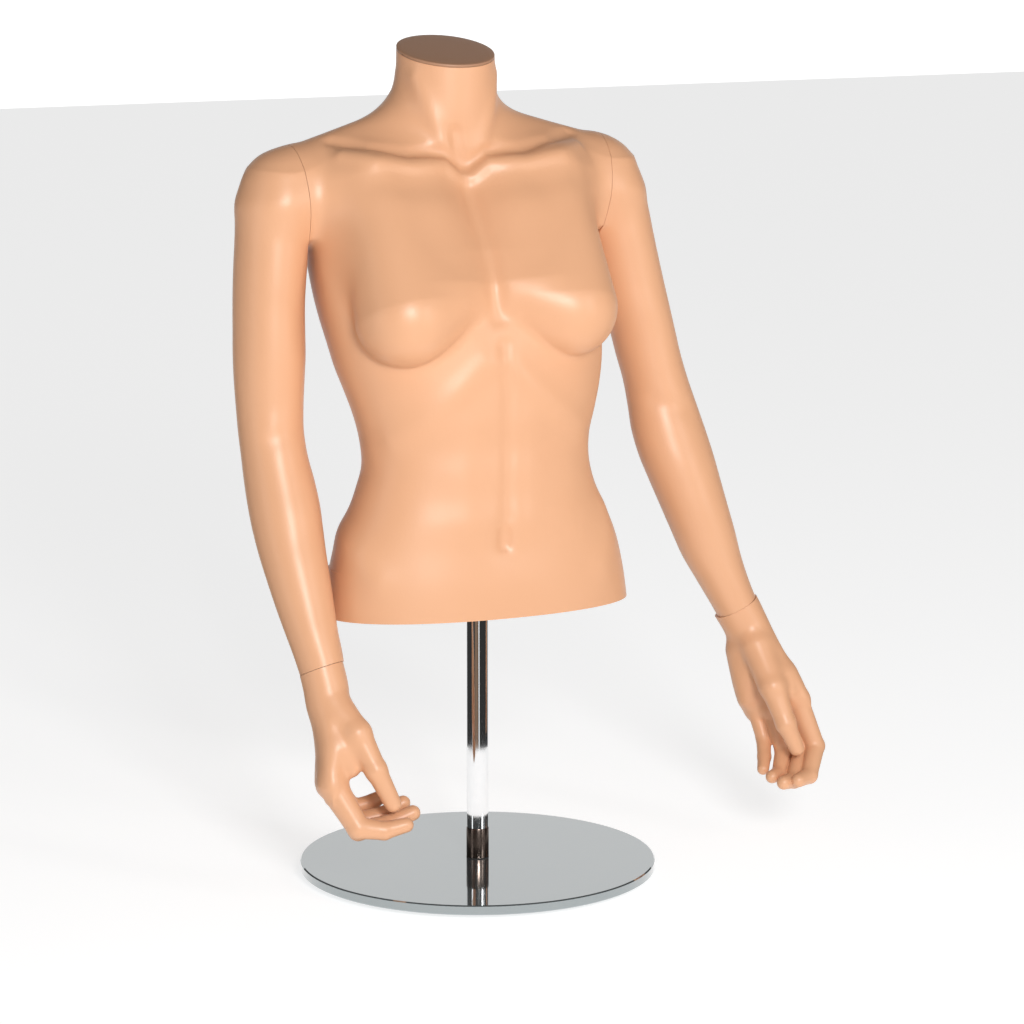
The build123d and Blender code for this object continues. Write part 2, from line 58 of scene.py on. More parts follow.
TRUNK = np.array([
    (225, 0, 2, 165, 84, 92, 2.20),
    (277, 0, 2, 161, 84, 93, 2.20),
    (310, 0, 2, 156, 84, 92, 2.20),
    (349, -0.5, 1, 146, 79, 84, 2.20),
    (374, -1.5, 0, 134.5, 77, 79, 2.20),
    (399, -2, 0, 125, 74, 74, 2.20),
    (424, -1.5, 0, 118.5, 73, 72, 2.20),
    (448, -1, 3, 119.5, 74, 74, 2.20),
    (473, 0, 6, 125.5, 78, 78, 2.20),
    (497, 0, 11, 132.5, 83, 84, 2.20),
    (520, -1, 17, 138.5, 88, 90, 2.20),
    (545, -2.5, 23, 142.5, 92, 95, 2.20),
    (575, -4, 31, 147, 94, 101, 2.20),
    (605, -5, 38, 150, 92, 102, 2.25),
    (640, -6, 46, 151, 80, 98, 2.30),
    (670, -7, 52, 148, 66, 91, 2.30),
    (700, -8, 57, 140, 50, 79, 2.30),
    (722, -8, 60, 124, 40, 66, 2.20),
    (740, -9, 61, 98, 33, 54, 2.10),
    (756, -9, 62, 60, 26, 44, 2.00),
    (790, -9, 62, 30, 20, 36, 2.00),
])
NECK = np.array([
    (690, -9, 62, 70, 44, 60, 2.0),
    (722, -9, 60, 62, 46, 55, 2.0),
    (750, -9, 59, 55.5, 48, 51, 2.0),
    (775, -9, 57, 51, 48, 49.5, 2.0),
    (800, -9, 56, 49.5, 48, 49, 2.0),
    (834, -9, 55, 49, 48, 48, 2.0),
    (870, -9, 54, 49, 48, 48, 2.0),
])
RIGHT_ARM = np.array([
    (150, -178, -75, 21, 28, 28, 2.0),
    (235, -184.2, -38, 22.3, 27, 27, 2.0),
    (248, -185.5, -33, 23.8, 28, 28, 2.0),
    (272, -189, -23, 26, 30, 30, 2.0),
    (295, -191, -12, 28.7, 32, 32, 2.0),
    (318, -193, -2, 31, 34, 34, 2.0),
    (341, -195, 8, 32.8, 36, 36, 2.0),
    (365, -196, 18, 34.5, 37, 38, 2.0),
    (389, -197, 26, 35.3, 38, 39, 2.0),
    (412, -198.5, 33.5, 34.5, 37, 38, 2.0),
    (437, -201, 40, 32.6, 35, 36, 2.0),
    (461, -202.3, 45, 32.2, 34, 36, 2.0),
    (485, -201.8, 49, 33.2, 34, 36, 2.0),
    (510, -201.3, 51, 34.6, 36, 37, 2.0),
    (535, -200.5, 52.5, 35.6, 38, 38, 2.0),
    (560, -200, 54, 35.3, 39, 38, 2.0),
    (584, -199.5, 55, 35.2, 39, 38, 2.0),
    (609, -198, 56, 35.5, 40, 39, 2.0),
    (640, -195, 57, 36.3, 40, 40, 2.0),
    (665, -192, 58, 37, 40, 40, 2.0),
    (690, -188, 58, 35, 39, 39, 2.0),
    (708, -182, 58, 24, 28, 28, 2.0),
])
LEFT_ARM = np.array([
    (160, 334, -12, 23, 25, 25, 2.0),
    (249, 295, 4, 24.5, 25, 25, 2.0),
    (277, 282, 9, 27, 28, 28, 2.0),
    (303, 271, 13, 30.5, 30, 31, 2.0),
    (330, 262.5, 17, 33.2, 32, 33, 2.0),
    (356, 254, 21, 35.1, 34, 35, 2.0),
    (382, 246, 26, 37.2, 35, 36, 2.0),
    (408, 238.5, 31.5, 39, 36, 37, 2.0),
    (433, 232.5, 37, 38.6, 35, 37, 2.0),
    (459, 227.5, 42, 35.8, 34, 36, 2.0),
    (485, 221.5, 45.5, 33.2, 34, 37, 2.0),
    (511, 214.5, 48.5, 32.8, 35, 37, 2.0),
    (537, 208.5, 51, 33, 36, 38, 2.0),
    (563, 201, 53, 34.5, 38, 38, 2.0),
    (588, 194.5, 54.6, 35.3, 38, 38, 2.0),
    (614, 188, 56, 35.8, 39, 39, 2.0),
    (640, 181.5, 57, 36.5, 40, 40, 2.0),
    (666, 175.5, 58, 37, 40, 40, 2.0),
    (690, 170, 58, 34, 39, 39, 2.0),
    (708, 164, 58, 24, 28, 28, 2.0),
])
RIGHT_PALM = np.array([
    (-30, -3, -5.5, 25, 22.5, 22.5, 2.0),
    (0, 0, 0, 25, 22.5, 22.5, 2.0),
    (20, 2, 2.5, 24.5, 22.5, 22, 2.0),
    (36, 2, 3, 26, 22, 21, 2.0),
    (58, 2, 2, 31, 17.5, 19, 2.1),
    (82, 1, 0, 36, 15, 15, 2.3),
    (104, 0, -3, 38, 14, 12, 2.4),
    (120, 0, -4, 35, 10, 9, 2.2),
    (127, 0, -5, 30, 2, 2, 2.0),
])
LEFT_PALM = np.array([
    (-30, -2.5, 4.5, 24.5, 24, 24, 2.0),
    (0, 0, 0, 24.5, 24, 24, 2.0),
    (20, 1.5, -2, 24, 22, 22, 2.0),
    (36, 2, -3, 25, 19, 20, 2.0),
    (58, 1, -2, 30, 16, 18, 2.1),
    (82, 0, -2, 36, 14, 15, 2.3),
    (104, 0, -3, 38.5, 13, 12, 2.4),
    (120, 0, -4, 36, 10, 9, 2.2),
    (127, 0, -5, 30, 2, 2, 2.0),
])
# centre and half sizes of each shoulder's round cap: the right side is -1, the left side is 1
SHOULDER_BALLS = {
    -1: ((-184.0, 58.0, 690.0), (41.5, 43.0, 47.0)),
    1: ((163.0, 58.0, 690.0), (40.0, 43.0, 47.0)),
}
MIDLINE_X = -8.0
SHOULDER_SEAM_X = {"right": -171.0, "left": 155.0}
SHOULDER_SEAM_Y = 58.0
SHOULDER_SEAM_Z = 694.0
SEAM_LEAN = 5.0
SEAM_GAP = 0.4
SEAM_DEPTH = 3.2
WRIST_DEPTH = 2.6
SHELL_RIM = 3.6
HIP_CUT_Z = 277.0
HIP_CUT_LEAN = 1.0
HIP_RECESS = 46.0
NECK_CUT_POINT = (-9.0, 55.0, 829.0)
NECK_CUT_LEAN = 14.0
CAP_THICKNESS = 3.0
ARMPIT = 650.0


def along_levels(height, levels, column):
    """Smooth curve through one column of a table of levels."""
    heights, values = levels[:, 0], levels[:, column]
    slopes = np.gradient(values, heights)
    i = np.clip(np.searchsorted(heights, height) - 1, 0, len(heights) - 2)
    span = heights[i + 1] - heights[i]
    t = np.clip((height - heights[i]) / span, 0, 1)
    rise = values[i + 1] - values[i]
    bend = (slopes[i] + slopes[i + 1]) * span - 2 * rise
    return values[i] + t * (slopes[i] * span + t * (rise - slopes[i] * span - bend * (1 - t)))


def column(p, levels):
    """Rough distance to a form whose level sections are ovals."""
    height = p[:, 2]
    centre_x, centre_y, wide, front, back, power = (along_levels(height, levels, k) for k in range(1, 7))
    x = p[:, 0] - centre_x
    y = p[:, 1] - centre_y
    deep = np.where(y < 0, front, back)
    size = (np.abs(x / wide) ** power + np.abs(y / deep) ** power) ** (1 / power)
    reach = np.hypot(x, y)
    side = np.where(size > 0.02, reach - reach / np.maximum(size, 0.02), -np.minimum(wide, front))
    return np.maximum(side, height - levels[-1, 0])


def bone(p, start, end, start_radius, end_radius):
    """Distance to a tapered rod with round ends."""
    start, end = np.array(start, float), np.array(end, float)
    line = end - start
    t = np.clip((p - start) @ line / (line @ line), 0, 1)
    gap = np.linalg.norm(p - start - t[:, None] * line, axis=1)
    return gap - (start_radius + (end_radius - start_radius) * t)


def ball(p, centre, radii):
    """Rough distance to an egg with three half sizes."""
    q = (p - np.array(centre, float)) / np.array(radii, float)
    size = np.linalg.norm(q, axis=1)
    slope = np.linalg.norm(q / np.array(radii, float), axis=1)
    return size * (size - 1) / np.maximum(slope, 1e-6)


def melt(a, b, reach):
    """Joins two forms with a soft fillet of the given reach."""
    mix = np.clip(0.5 + 0.5 * (b - a) / reach, 0, 1)
    return b + (a - b) * mix - reach * mix * (1 - mix)


def swell(p, points, width, height):
    """Soft ridge along a line of points; a negative height makes a groove."""
    nearest = np.full(len(p), 1e9)
    for start, end in zip(points, points[1:]):
        nearest = np.minimum(nearest, bone(p, start, end, 0, 0))
    return -height * np.exp(-(nearest / width) ** 2)


def mirrored(points, side):
    """Points given from the body's midline, for the left side (1) or the right side (-1)."""
    return [(MIDLINE_X + side * x, y, z) for x, y, z in points]


def bare_torso(p):
    """Trunk, neck, shoulders and breasts as smooth masses."""
    d = melt(column(p, TRUNK), column(p, NECK), 26)
    for side in (-1, 1):
        d = melt(d, bone(p, *mirrored([(30, 70, 752), (150, 60, 712)], side), 26, 30), 34)
        d = melt(d, bone(p, *mirrored([(60, 16, 668), (128, 38, 690)], side), 30, 28), 40)
        outer, outer_top, inner, inner_top = mirrored(
            [(87, -43, 579), (96, 20, 702), (46, -24, 594), (50, 24, 702)], side)
        breast = melt(bone(p, outer, outer_top, 50, 33), bone(p, inner, inner_top, 49, 27), 26)
        d = melt(d, breast, np.interp(p[:, 2], (565, 640), (6, 30)))
    return d


def on_surface(form, pairs, front=True):
    """Points on the front or the back of a form, from pairs of x and height."""
    x, z = np.array(pairs, float).T
    out, deep = np.full(len(x), -150.0 if front else 190.0), np.full(len(x), 58.0)
    for _ in range(20):
        middle = (out + deep) / 2
        inside = form(np.stack([x, middle, z], 1)) < 0
        out, deep = np.where(inside, out, middle), np.where(inside, middle, deep)
    return np.stack([x, out, z], 1)


def modelled_lines():
    """Ridges and grooves of the torso: the points of each line, its width and its height."""
    lines = []

    def line(pairs, width, height, front=True):
        lines.append((on_surface(bare_torso, pairs, front), width, height))

    for side in (-1, 1):
        def both(pairs):
            return [(MIDLINE_X + side * x, z) for x, z in pairs]
        line(both([(4, 719), (22, 731), (62, 733), (100, 740), (128, 744)]), 6.5, -4.6)
        line(both([(6, 708), (24, 720), (62, 721), (100, 728), (126, 732)]), 8, 3.4)
        line(both([(30, 700), (70, 702), (104, 708)]), 14, -1.6)
        line(both([(17, 734), (30, 764), (44, 804)]), 9, 2.6)
        line(both([(12, 532), (40, 506), (74, 478), (100, 458)]), 13, 2.6)
        line(both([(30, 470), (34, 420), (30, 380)]), 20, 1.8)
        line(both([(122, 322), (132, 344), (130, 372)]), 17, 3.4)
        line(both([(60, 684), (54, 640), (66, 590)]), 24, 4.0, front=False)
        line(both([(84, 690), (96, 640)]), 20, 3.0, front=False)
    line([(-17, 750), (-16, 738), (-12, 727)], 7, -5.0)
    line([(-10, 712), (-8, 680), (-6, 640), (-6, 600), (-5, 575)], 9, -2.6)
    line([(0, 548), (2, 500), (2, 440), (-1, 380)], 8, -2.8)
    line([(-4, 363), (-4, 352)], 5.5, -8.0)
    line([(-4, 366), (-4, 348)], 13, -2.4)
    line([(-8, 740), (-7, 690), (-6, 620), (-3, 520), (-1, 430), (0, 340)], 12, -5.0, front=False)
    return lines


LINES = modelled_lines()


def torso_form(p):
    """Torso with the soft modelling of a display form."""
    d = bare_torso(p)
    for points, width, height in LINES:
        d += swell(p, points, width, height)
    return d


def arm_form(p, side, levels):
    """Arm with its deltoid, the point of the elbow and a soft hollow in front of the elbow."""
    d = melt(column(p, levels), ball(p, *SHOULDER_BALLS[side]), 16)
    elbow_x = along_levels(np.array([452.0]), levels, 1)[0]
    d += swell(p, [(elbow_x, 80, 462), (elbow_x, 78, 450)], 14, 3.0)
    d += swell(p, [(elbow_x - side * 22, 14, 466), (elbow_x + side * 10, 10, 458)], 11, -1.6)
    return d


def faded_below(d, p, height):
    """Pushes a form away below a height, so that it only meets its neighbour above it."""
    return d + np.maximum(0, height - p[:, 2]) * 0.9


def torso_piece(p):
    """Torso that runs a little way into both arms."""
    d = torso_form(p)
    for side, levels in ((-1, RIGHT_ARM), (1, LEFT_ARM)):
        near = (p[:, 2] > 590) & (side * p[:, 0] > 90)
        arm = arm_form(p[near], side, levels)
        d[near] = melt(d[near], faded_below(arm, p[near], ARMPIT), 16)
    return d


def arm_piece(side, levels):
    """Arm that runs a little way into the torso."""
    def form(p):
        d = arm_form(p, side, levels)
        near = p[:, 2] > 560
        torso = torso_form(p[near])
        d[near] = melt(d[near], faded_below(torso, p[near], ARMPIT), 16)
        return d
    return form


# Hands: every point is its distance along the hand, towards the thumb and towards the palm
RIGHT_HAND = {
    "palm": RIGHT_PALM,
    "fingers": [
        ((14.5, 11.2, 9.0, 7.4), [(114, 22, -3), (157, 26, 17), (163, 25, 42), (160, 24, 64)]),
        ((11.0, 9.8, 8.8, 7.6), [(116, 6, -5), (161, 8, 18), (158, 8, 48), (150, 8, 73)]),
        ((10.0, 9.4, 8.4, 7.2), [(112, -10, -5), (153, -9, 20), (149, -8, 48), (140, -8, 66)]),
        ((9.0, 8.2, 7.4, 6.6), [(105, -25, -3), (140, -25, 18), (136, -24, 38), (129, -22, 54)]),
    ],
    "thumb": ((15, 14, 10.6, 8.4), [(38, 14, 10), (66, 26, 26), (103, 30, 40), (138, 24, 53.5)]),
    "web": [(80, 22, 10), (99, 24, 17)],
    "pads": [((52, 14, 14), (78, 22, 22), 14), ((48, -14, 4), (92, -23, 5), 12)],
}
LEFT_HAND = {
    "palm": LEFT_PALM,
    "fingers": [
        ((11.5, 9.8, 8.6, 7.2), [(116, 25, -4), (166, 24, -5), (188, 22, 25), (186, 20, 45)]),
        ((11.0, 9.6, 8.6, 7.2), [(118, 8, -5), (170, 8, 0), (187, 7, 32), (183, 6, 51)]),
        ((10.0, 9.0, 8.0, 6.8), [(113, -9, -4), (160, -9, 3), (177, -9, 27), (175, -8, 45)]),
        ((9.0, 7.8, 7.0, 6.2), [(104, -25, -3), (142, -25, 5), (158, -24, 19), (167, -22, 33)]),
    ],
    "thumb": ((15, 13.5, 10.2, 7.9), [(48, 12, 8), (88, 20, 24), (128, 22, 30), (157, 20, 25)]),
    "web": [(84, 24, 6), (100, 26, 8)],
    "pads": [((44, 10, 10), (86, 16, 20), 14), ((46, -14, 4), (96, -24, 5), 13)],
}


def chain(p, radii, points, reach):
    """A digit: tapered rods end to end."""
    digit = np.full(len(p), 1e9)
    for k in range(len(points) - 1):
        digit = melt(digit, bone(p, points[k], points[k + 1], radii[k], radii[k + 1]), reach)
    return digit


def hand_form(hand):
    """Hand from its palm, pads, web, fingers and thumb."""
    def form(p):
        d = column(p[:, [1, 2, 0]], hand["palm"])
        for start, end, radius in hand["pads"]:
            d = melt(d, bone(p, start, end, radius, radius - 2), 12)
        d = melt(d, bone(p, *hand["web"], 12, 9), 14)
        rods = np.full(len(p), 1e9)
        for radii, points in hand["fingers"]:
            rods = melt(rods, chain(p, radii, points, 2.5), 1.6)
        d = melt(d, rods, 10)
        return melt(d, chain(p, *hand["thumb"], 5), 6)
    return form


# ---------------------------------------------------------------- meshing

CELL_CORNERS = [(x, y, z) for x in (0, 1) for y in (0, 1) for z in (0, 1)]
CELL_EDGES = [(a, b) for a in range(8) for b in range(a + 1, 8)
              if sum(abs(i - j) for i, j in zip(CELL_CORNERS[a], CELL_CORNERS[b])) == 1]


def in_chunks(form, p, size=400000):
    """Distances for many points, worked out a part at a time."""
    return np.concatenate([form(p[i:i + size]) for i in range(0, len(p), size)])


def skin(form, low, high, step):
    """Quad mesh on a form's surface: one point for each crossed cell, then drawn onto the surface."""
    axes = [np.arange(a, b + step, step) for a, b in zip(low, high)]
    grid = np.stack(np.meshgrid(*axes, indexing="ij"), -1)
    counts = grid.shape[:3]
    d = in_chunks(form, grid.reshape(-1, 3)).reshape(counts)
    inside = d < 0
    cells = tuple(n - 1 for n in counts)

    def corner(array, c):
        return array[c[0]:c[0] + cells[0], c[1]:c[1] + cells[1], c[2]:c[2] + cells[2]]

    filled = sum(corner(inside, c).astype(np.int8) for c in CELL_CORNERS)
    where = np.argwhere((filled > 0) & (filled < 8))
    index = np.full(cells, -1)
    index[tuple(where.T)] = np.arange(len(where))
    total = np.zeros((len(where), 3))
    hits = np.zeros(len(where))
    for a, b in CELL_EDGES:
        ca, cb = np.array(CELL_CORNERS[a]), np.array(CELL_CORNERS[b])
        da, db = d[tuple((where + ca).T)], d[tuple((where + cb).T)]
        crossed = (da < 0) != (db < 0)
        t = np.where(crossed, da / np.where(crossed, da - db, 1), 0)[:, None]
        total += np.where(crossed[:, None], ca + t * (cb - ca), 0)
        hits += crossed
    points = np.array(low) + (where + total / hits[:, None]) * step
    faces = []
    for axis in range(3):
        u, v = (axis + 1) % 3, (axis + 2) % 3
        first = [slice(1, n - 1) for n in counts]
        first[axis] = slice(0, counts[axis] - 1)
        second = list(first)
        second[axis] = slice(1, counts[axis])
        starts = inside[tuple(first)]
        ends = inside[tuple(second)]
        cut = np.argwhere(starts != ends)
        leaving = starts[tuple(cut.T)]
        cut = cut + 1
        cut[:, axis] -= 1
        ring = []
        for du, dv in ((-1, -1), (0, -1), (0, 0), (-1, 0)):
            cell = cut.copy()
            cell[:, u] += du
            cell[:, v] += dv
            ring.append(index[tuple(cell.T)])
        quad = np.stack(ring, 1)
        quad[~leaving] = quad[~leaving][:, ::-1]
        faces.append(quad)
    for _ in range(3):
        points = drawn_to(form, points, step)
    return points, np.concatenate(faces)


def drawn_to(form, points, step):
    """Moves points along the form's slope until they lie on it."""
    small = 0.4
    d = in_chunks(form, points)
    slopes = []
    for way in small * np.eye(3):
        slopes.append((in_chunks(form, points + way) - in_chunks(form, points - way)) / (2 * small))
    slope = np.stack(slopes, 1)
    move = d[:, None] * slope / np.maximum((slope ** 2).sum(1), 0.05)[:, None]
    length = np.linalg.norm(move, axis=1)[:, None]
    return points - move * np.minimum(1, 0.6 * step / np.maximum(length, 1e-9))


def mesh_piece(name, points, faces):
    """Smooth object from points in metres."""
    mesh = bpy.data.meshes.new(name)
    mesh.from_pydata([tuple(v) for v in points], [], [tuple(int(i) for i in f) for f in faces])
    mesh.validate()
    mesh.shade_smooth()
    piece = bpy.data.objects.new(name, mesh)
    bpy.context.scene.collection.objects.link(piece)
    return piece


def open_flat(piece, point, normal, steps, region=None):
    """Cuts a piece at a plane and keeps what lies behind it.

    The cut is closed by rings, each given as how far it goes inward and back, and a last flat face.
    """
    bm = bmesh.new()
    bm.from_mesh(piece.data)
    verts = [v for v in bm.verts if region is None or region(v.co)]
    chosen = set(verts)
    edges = [e for e in bm.edges if all(v in chosen for v in e.verts)]
    surfaces = [f for f in bm.faces if all(v in chosen for v in f.verts)]
    bmesh.ops.bisect_plane(bm, geom=verts + edges + surfaces, plane_co=point, plane_no=normal,
                           clear_outer=True, dist=1e-7)
    ring = []
    for edge in bm.edges:
        if edge.is_boundary and all(abs((v.co - point).dot(normal)) < 1e-5 for v in edge.verts):
            ring.append(edge)
    centre = sum((v.co for e in ring for v in e.verts), Vector()) / (2 * len(ring))
    for edge in ring:
        edge.smooth = False
    for inward, back in steps:
        made = bmesh.ops.extrude_edge_only(bm, edges=ring)["geom"]
        verts = [g for g in made if isinstance(g, bmesh.types.BMVert)]
        ring = [g for g in made if isinstance(g, bmesh.types.BMEdge) and g.is_boundary]
        for v in verts:
            arm = v.co - centre
            arm -= normal * arm.dot(normal)
            v.co -= arm.normalized() * inward * MM + normal * back * MM
        for edge in ring:
            edge.smooth = False
    bmesh.ops.holes_fill(bm, edges=ring, sides=0)
    bmesh.ops.recalc_face_normals(bm, faces=bm.faces[:])
    bm.to_mesh(piece.data)
    bm.free()


def finish_piece(piece, body, slot, *nodes):
    """Gives a piece its body, its material slot and the nodes that it stands for."""
    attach(piece, body)
    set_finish(piece, slot)
    if nodes:
        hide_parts(*nodes)


def outline(form, point, across, up, count):
    """Distances from a point to a form's edge in a plane, going round from across towards up."""
    angles = np.arange(count) * 2 * math.pi / count
    rays = np.cos(angles)[:, None] * np.array(across) + np.sin(angles)[:, None] * np.array(up)
    near, far = np.zeros(count), np.full(count, 90.0)
    for _ in range(24):
        middle = (near + far) / 2
        inside = form(np.array(point) + rays * middle[:, None]) < 0
        near = np.where(inside, middle, near)
        far = np.where(inside, far, middle)
    return rays * near[:, None]


def rings(name, loops):
    """Closed object through a stack of equal loops of points, in millimetres."""
    count = len(loops[0])
    points = np.concatenate(loops)
    faces = []
    for level in range(len(loops) - 1):
        base = level * count
        faces += [(base + k, base + (k + 1) % count, base + count + (k + 1) % count, base + count + k)
                  for k in range(count)]
    faces.append(tuple(reversed(range(count))))
    faces.append(tuple(range(len(points) - count, len(points))))
    return mesh_piece(name, points * MM, faces)


def turned(name, profile, count=128):
    """Object turned round the upright axis from (radius, height) points, from the bottom to the top."""
    angles = np.arange(count) * 2 * math.pi / count
    loops = [np.stack([r * np.cos(angles), r * np.sin(angles), np.full(count, z)], 1) for r, z in profile]
    piece = rings(name, loops)
    sharpen(piece, 30)
    return piece


def sharpen(piece, degrees):
    """Marks edges that turn by more than an angle as sharp."""
    bm = bmesh.new()
    bm.from_mesh(piece.data)
    for edge in bm.edges:
        if len(edge.link_faces) == 2 and edge.calc_face_angle(0) > math.radians(degrees):
            edge.smooth = False
    bm.to_mesh(piece.data)
    bm.free()


# ---------------------------------------------------------------- body pieces

coarse = 1.0


def shoulder_plane(word, side):
    """Point and outward way of a shoulder's flat seam."""
    lean = math.radians(SEAM_LEAN)
    outward = Vector((side * math.cos(lean), 0, -math.sin(lean)))
    return Vector((SHOULDER_SEAM_X[word], SHOULDER_SEAM_Y, SHOULDER_SEAM_Z)) * MM, outward


# torso
neck_lean = math.radians(NECK_CUT_LEAN)
neck_normal = Vector((0, -math.sin(neck_lean), math.cos(neck_lean)))
neck_point = Vector(NECK_CUT_POINT) * MM
hip_lean = math.radians(HIP_CUT_LEAN)
hip_normal = Vector((0, -math.sin(hip_lean), -math.cos(hip_lean)))
points, faces = skin(torso_piece, (-205, -108, 262), (190, 156, 858), 3.0 * coarse)
torso = mesh_piece("moulded_torso", points * MM, faces)
open_flat(torso, Vector((0, 0, HIP_CUT_Z)) * MM, hip_normal, [(SHELL_RIM, 0), (3.0, HIP_RECESS)])
open_flat(torso, neck_point - neck_normal * CAP_THICKNESS * MM, neck_normal, [(6.0, 0), (0, 4)])
for word, side in (("right", -1), ("left", 1)):
    seam_point, outward = shoulder_plane(word, side)
    open_flat(torso, seam_point, outward, [(SHELL_RIM, 0), (0, SEAM_DEPTH)],
              lambda co: co.z > 0.61 and side * co.x > 0.10)
finish_piece(torso, "torso", "skin_paint", "torso_shell")

# closing cap of the neck: its edge follows the shell and is eased at the top
neck_across = (1.0, 0.0, 0.0)
neck_up = (0.0, math.cos(neck_lean), math.sin(neck_lean))
top_centre = np.array(neck_point / MM)
down = -np.array(neck_normal)
# each loop's depth under the top, or its rise when negative, and its distance in from the shell's edge
CAP_SECTION = [(CAP_THICKNESS, 7.0), (CAP_THICKNESS, 0.15), (0.7, 0.0), (0.2, 0.25), (0.0, 0.8), (-0.25, 6.0),
               (-0.5, 20.0), (-0.6, 34.0)]
cap_loops = []
for sunk, inset in CAP_SECTION:
    centre = top_centre + down * max(sunk, 0)
    reach = outline(torso_form, centre, neck_across, neck_up, 192)
    length = np.linalg.norm(reach, axis=1)[:, None]
    cap_loops.append(centre + down * min(sunk, 0) + reach * (1 - inset / length))
neck_cap = rings("neck_closing_cap", cap_loops)
finish_piece(neck_cap, "torso", "cap_paint", "neck_cap")

# arms and hands: each hand's way along the hand, and its way towards the thumb
HAND_FRAMES = {
    "right": ((0.02, -0.22, -0.97), (-0.30, -0.93, 0.2)),
    "left": ((0.306, -0.224, -0.925), (0.527, -0.782, 0.3)),
}
HAND_FORMS = {"right": RIGHT_HAND, "left": LEFT_HAND}
arms, hands = {}, {}
for word, side, levels, low, high in (
        ("right", -1, RIGHT_ARM, (-244, -74, 204), (-150, 108, 744)),
        ("left", 1, LEFT_ARM, (136, -34, 222), (332, 108, 744))):
    points, faces = skin(arm_piece(side, levels), low, high, 2.2 * coarse)
    arm = mesh_piece(f"moulded_{word}_arm", points * MM, faces)
    seam_point, outward = shoulder_plane(word, side)
    open_flat(arm, seam_point + outward * SEAM_GAP * MM, -outward, [(SHELL_RIM, 0), (0, SEAM_DEPTH)])
    joint = joints[f"{word}_wrist"]
    wrist = Vector(joint["pos_m"])
    along_arm = Vector(joint["axis"])
    open_flat(arm, wrist, along_arm, [(SHELL_RIM, 0), (0, WRIST_DEPTH)])
    finish_piece(arm, f"{word}_arm", "skin_paint", f"{word}_arm_shell")
    arms[word] = arm

    along, thumb = (Vector(v).normalized() for v in HAND_FRAMES[word])
    palm = along.cross(thumb).normalized() * side
    thumb = palm.cross(along) * side
    points, faces = skin(hand_form(HAND_FORMS[word]), (-16, -48, -34), (204, 50, 88), 1.3 * coarse)
    basis = np.array([along, thumb, palm])
    hand = mesh_piece(f"moulded_{word}_hand", (points @ basis) * MM + np.array(wrist), faces)
    if basis[0] @ np.cross(basis[1], basis[2]) < 0:
        hand.data.flip_normals()
    open_flat(hand, wrist + along_arm * SEAM_GAP * MM, -along_arm, [(SHELL_RIM, 0), (0, WRIST_DEPTH)])
    finish_piece(hand, f"{word}_hand", "skin_paint", f"{word}_hand")
    hands[word] = hand

# ---------------------------------------------------------------- stand

GLASS_RADIUS = 180.0
GLASS_BOTTOM = 5.0
GLASS_TOP = 15.0
GLASS_EDGE = 1.2
glass_profile = [(GLASS_RADIUS - GLASS_EDGE, GLASS_BOTTOM), (GLASS_RADIUS, GLASS_BOTTOM + GLASS_EDGE),
                 (GLASS_RADIUS, GLASS_TOP - GLASS_EDGE), (GLASS_RADIUS - GLASS_EDGE, GLASS_TOP)]
glass = turned("glass_base_plate", glass_profile, 256)
finish_piece(glass, "base", "mirror_glass", "glass_disc")
pole = turned("upright_pole", [(11.0, 46.6), (11.0, 402.0), (11.0, 419.4), (10.4, 420.0)])
finish_piece(pole, "base", "chrome_tube", "pole_tube")
ferrule = turned("pole_ferrule", [(11.1, 15.6), (11.4, 15.9), (11.4, 45.8), (11.1, 46.4), (10.2, 46.5)])
finish_piece(ferrule, "base", "dark_bronze", "base_ferrule")

# ---------------------------------------------------------------- finishes


def node(tree, kind, inputs=None, **settings):
    """Adds a shader node and joins or sets its inputs."""
    made = tree.nodes.new(kind)
    for key, value in settings.items():
        setattr(made, key, value)
    for key, value in (inputs or {}).items():
        if isinstance(value, bpy.types.NodeSocket):
            tree.links.new(value, made.inputs[key])
        else:
            made.inputs[key].default_value = value
    return made


def noise(tree, scale, detail, place=None):
    """Noise factor at a place, which is the object's own coordinates unless another is given."""
    place = place or node(tree, "ShaderNodeTexCoord").outputs["Object"]
    made = node(tree, "ShaderNodeTexNoise", {"Vector": place, "Scale": scale, "Detail": detail})
    return made.outputs["Fac"]


def maths(tree, operation, first, second):
    """Result of one sum of two values."""
    return node(tree, "ShaderNodeMath", {0: first, 1: second}, operation=operation).outputs[0]


def group(name, inputs, outputs):
    """Empty node group with float or colour sockets."""
    tree = bpy.data.node_groups.new(name, "ShaderNodeTree")
    for key, kind, value in inputs:
        socket = tree.interface.new_socket(key, in_out="INPUT", socket_type=f"NodeSocket{kind}")
        socket.default_value = value
    for key, kind in outputs:
        tree.interface.new_socket(key, in_out="OUTPUT", socket_type=f"NodeSocket{kind}")
    return tree, tree.nodes.new("NodeGroupInput"), tree.nodes.new("NodeGroupOutput")


def paint_grain_group():
    """Spray grain of a satin paint: a small change of tone and of gloss, and a height."""
    sizes = [("Grain size", "Float", 1400.0), ("Cloud size", "Float", 9.0)]
    results = [("Tone", "Float"), ("Gloss", "Float"), ("Height", "Float")]
    tree, given, result = group("paint grain", sizes, results)
    fine = noise(tree, given.outputs["Grain size"], 3.0)
    cloud = noise(tree, given.outputs["Cloud size"], 2.0)
    peel = noise(tree, 420.0, 1.0)
    height = maths(tree, "ADD", peel, maths(tree, "MULTIPLY", fine, 0.35))
    tree.links.new(cloud, result.inputs["Tone"])
    tree.links.new(fine, result.inputs["Gloss"])
    tree.links.new(height, result.inputs["Height"])
    return tree


